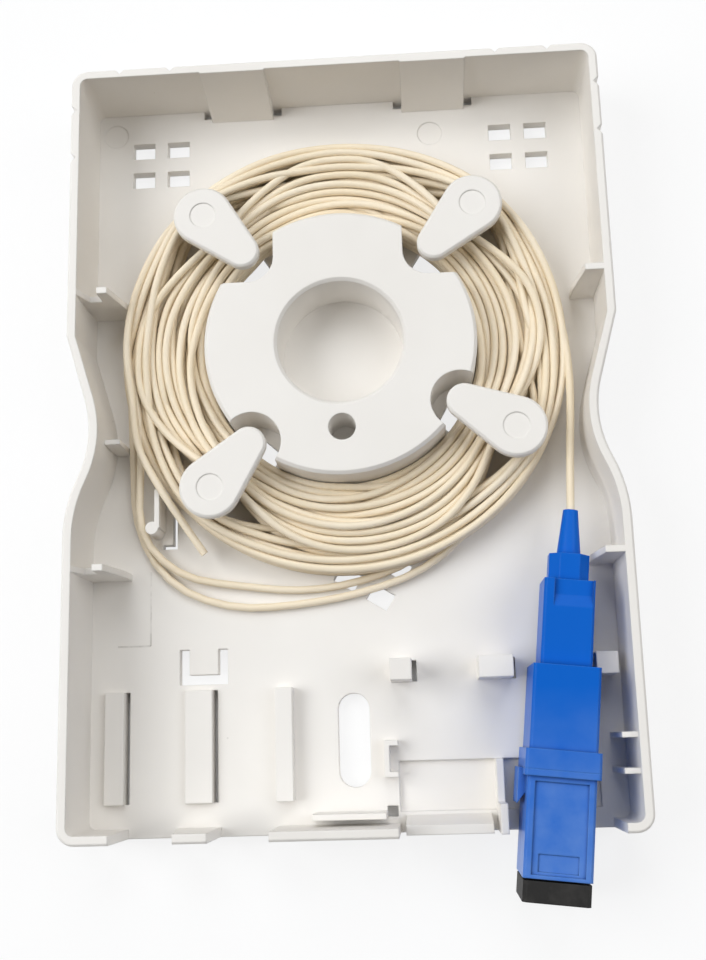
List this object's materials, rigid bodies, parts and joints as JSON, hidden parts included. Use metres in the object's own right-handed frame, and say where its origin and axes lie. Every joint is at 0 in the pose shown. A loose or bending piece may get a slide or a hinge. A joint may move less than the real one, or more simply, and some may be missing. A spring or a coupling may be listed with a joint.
{
  "type": "fibre optic termination box",
  "caption": "Open fibre termination tray with coiled cable on a drum, retaining arms, cable entries and a push-pull connector seated in a coupling.",
  "frame": {"origin": "middle of the tray's back face, which lies on the wall or table", "axes": "+Z out of the open side, +Y to the edge opposite the cable entries, +X to the coupling side"},
  "size_m": [0.0842, 0.1304, 0.016],
  "materials": {
    "tray_plastic": "satin moulded white",
    "cable_jacket": "smooth ivory sheath",
    "blue_plastic": "semi-gloss moulded blue",
    "white_plastic": "moulded white",
    "black_plastic": "satin black",
    "ceramic": "polished white ceramic",
    "plated_metal": "nickel plated",
    "spring_steel": "drawn wire"
  },
  "bodies": {
    "tray": {"base_tray": "tray_plastic", "cable_coil": "cable_jacket", "fibre_lead": "cable_jacket", "loose_turn_outer": "cable_jacket", "loose_turn_inner": "cable_jacket", "cable_tail": "cable_jacket", "plug_boot": "blue_plastic", "plug_rear_body": "blue_plastic", "adapter_shell_rear": "blue_plastic", "adapter_shell_front": "blue_plastic", "plug_frame": "white_plastic", "sleeve_holder_rear": "white_plastic", "sleeve_holder_front": "white_plastic", "alignment_sleeve": "ceramic", "crimp_ring": "plated_metal", "ferrule_spring": "spring_steel"},
    "grip": {"plug_grip": "blue_plastic"},
    "ferrule_unit": {"ferrule": "ceramic", "ferrule_flange": "plated_metal"},
    "dust_cap": {"dust_plug": "black_plastic"}
  },
  "joints": [
    {"name": "grip_slide", "type": "slide", "parent": "tray", "child": "grip", "axis": [0.1097, 0.994, 0], "range_m": [0, 0.0012]},
    {"name": "ferrule_float", "type": "slide", "parent": "tray", "child": "ferrule_unit", "axis": [0.1097, 0.994, 0], "range_m": [0, 0.001], "stiffness_N_per_m": 1000, "springref_m": -0.005, "deforming": ["ferrule_spring"]},
    {"name": "dust_plug_pull", "type": "slide", "parent": "tray", "child": "dust_cap", "axis": [-0.1097, -0.994, 0], "range_m": [0, 0.01]}
  ]
}
